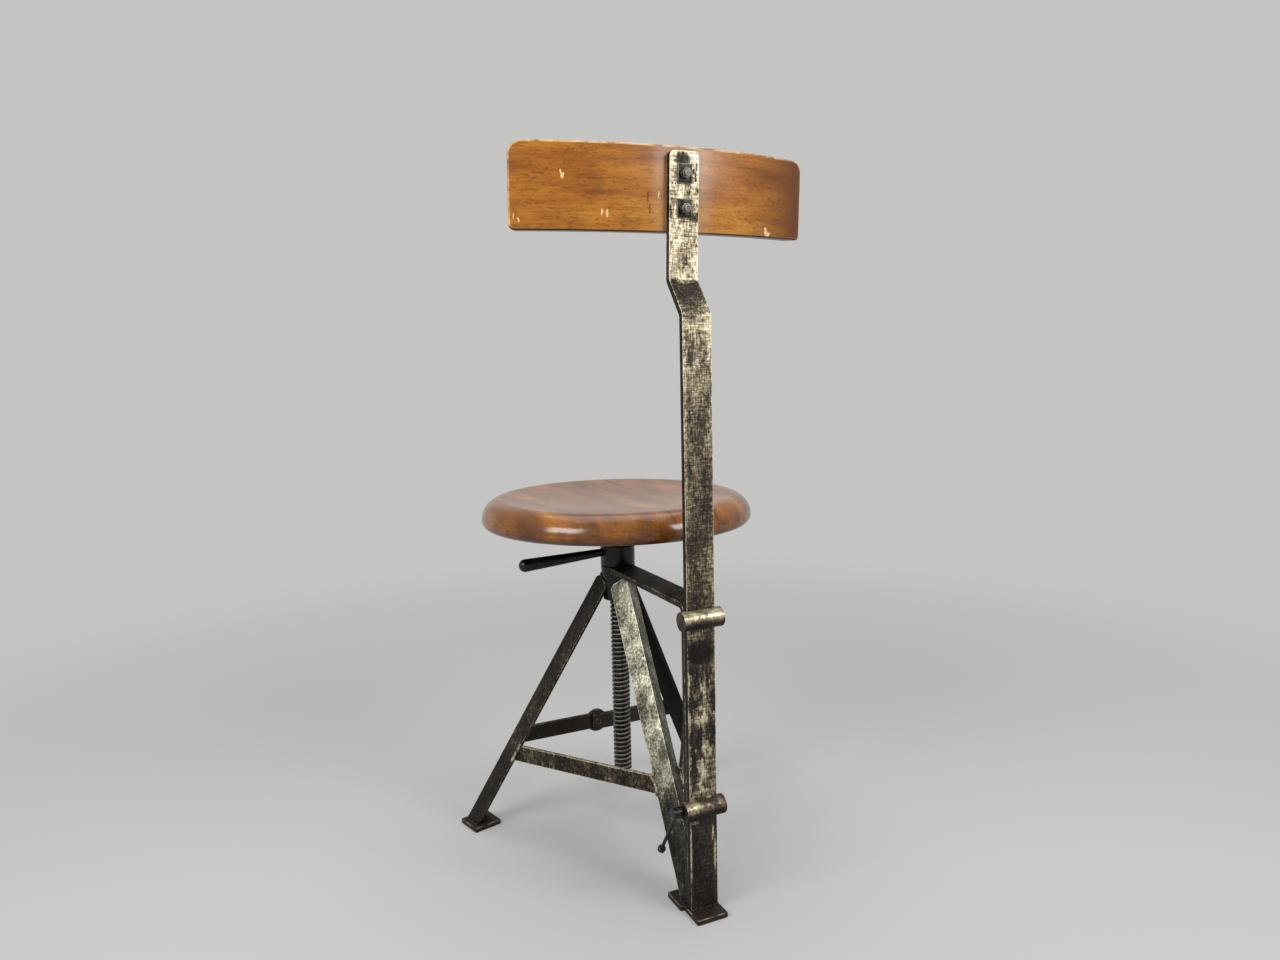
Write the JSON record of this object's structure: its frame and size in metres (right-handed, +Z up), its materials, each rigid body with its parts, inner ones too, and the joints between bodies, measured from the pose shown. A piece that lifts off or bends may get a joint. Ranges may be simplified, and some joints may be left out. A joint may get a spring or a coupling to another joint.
{
  "type": "workshop chair",
  "caption": "Workshop chair: round wooden seat on a screw spindle that lifts it, angle-iron tripod with stretchers, locking lever, and a curved wooden backrest on a sliding flat-bar post.",
  "frame": {"origin": "middle of the footprint on the floor: centred in X on the spindle, halfway between the seat's front edge and the rear foot plate in Y, z = 0 on the floor", "axes": "+Z is up and the longest extent; the sitter faces -Y, so the back post is at +Y; +X is the sitter's left"},
  "size_m": [0.3954, 0.421, 0.864],
  "materials": {
    "blackened_steel": "blackened turned steel with an oily sheen",
    "worn_leg_steel": "rolled angle iron, old olive-grey paint worn to dark steel and pale edges",
    "worn_bar_steel": "flat bar, old cream-grey coating flaked off to dark patina",
    "rusty_steel": "flat steel with dry brown rust",
    "guide_steel": "turned round bar, olive-grey patina polished by handling",
    "spindle_steel": "greased machine-cut thread with bright crests",
    "fastener_steel": "dull dark zinc and steel",
    "seat_wood": "glossy warm brown varnish on beech",
    "back_plywood": "satin orange-brown varnish on bent beech plywood, chipped"
  },
  "bodies": {
    "frame": {"hub": "blackened_steel", "left_leg": "worn_leg_steel", "right_leg": "worn_leg_steel", "rear_leg": "worn_leg_steel", "left_foot_plate": "rusty_steel", "right_foot_plate": "rusty_steel", "rear_foot_plate": "rusty_steel", "upright_foot_plate": "rusty_steel", "left_stretcher": "worn_leg_steel", "right_stretcher": "worn_leg_steel", "front_stretcher_left": "rusty_steel", "front_stretcher_right": "rusty_steel", "stretcher_rivet": "rusty_steel", "back_support": "worn_bar_steel", "upper_guide": "guide_steel", "lower_guide": "guide_steel"},
    "lock": {"lock_nut": "blackened_steel", "lock_lever": "blackened_steel"},
    "seat_carrier": {"stop_washer": "blackened_steel"},
    "seat": {"spindle": "spindle_steel", "seat_flange": "blackened_steel", "flange_pin": "fastener_steel", "seat_screws": "fastener_steel", "seat": "seat_wood"},
    "back": {"back_post": "worn_bar_steel", "backrest": "back_plywood", "back_bolts": "fastener_steel", "back_washers": "fastener_steel", "back_nuts": "fastener_steel"},
    "clamp": {"clamp_screw": "blackened_steel"},
    "tommy": {"tommy_bar": "blackened_steel"}
  },
  "joints": [
    {"name": "seat_lift", "type": "slide", "parent": "frame", "child": "seat_carrier", "axis": [0, 0, 1], "range_m": [0, 0.2161]},
    {"name": "seat_turn", "type": "hinge", "parent": "seat_carrier", "child": "seat", "pos_m": [0, -0.0355, 0.4], "axis": [0, 0, 1], "range_deg": [0, 12960]},
    {"name": "lock_turn", "type": "hinge", "parent": "frame", "child": "lock", "pos_m": [0, -0.0355, 0.38], "axis": [0, 0, 1], "range_deg": [0, 90]},
    {"name": "back_slide", "type": "slide", "parent": "frame", "child": "back", "axis": [0, 0, 1], "range_m": [0, 0.109]},
    {"name": "clamp_turn", "type": "hinge", "parent": "frame", "child": "clamp", "pos_m": [0.026, 0.187, 0.129], "axis": [1, 0, 0], "range_deg": [0, 360]},
    {"name": "tommy_slide", "type": "slide", "parent": "clamp", "child": "tommy", "axis": [0, 0.5446, 0.8387], "range_m": [0, 0.0665]}
  ],
  "couplings": [
    {"joint": "seat_lift", "follows": "seat_turn", "m_per_rad": 0.00095493}
  ]
}
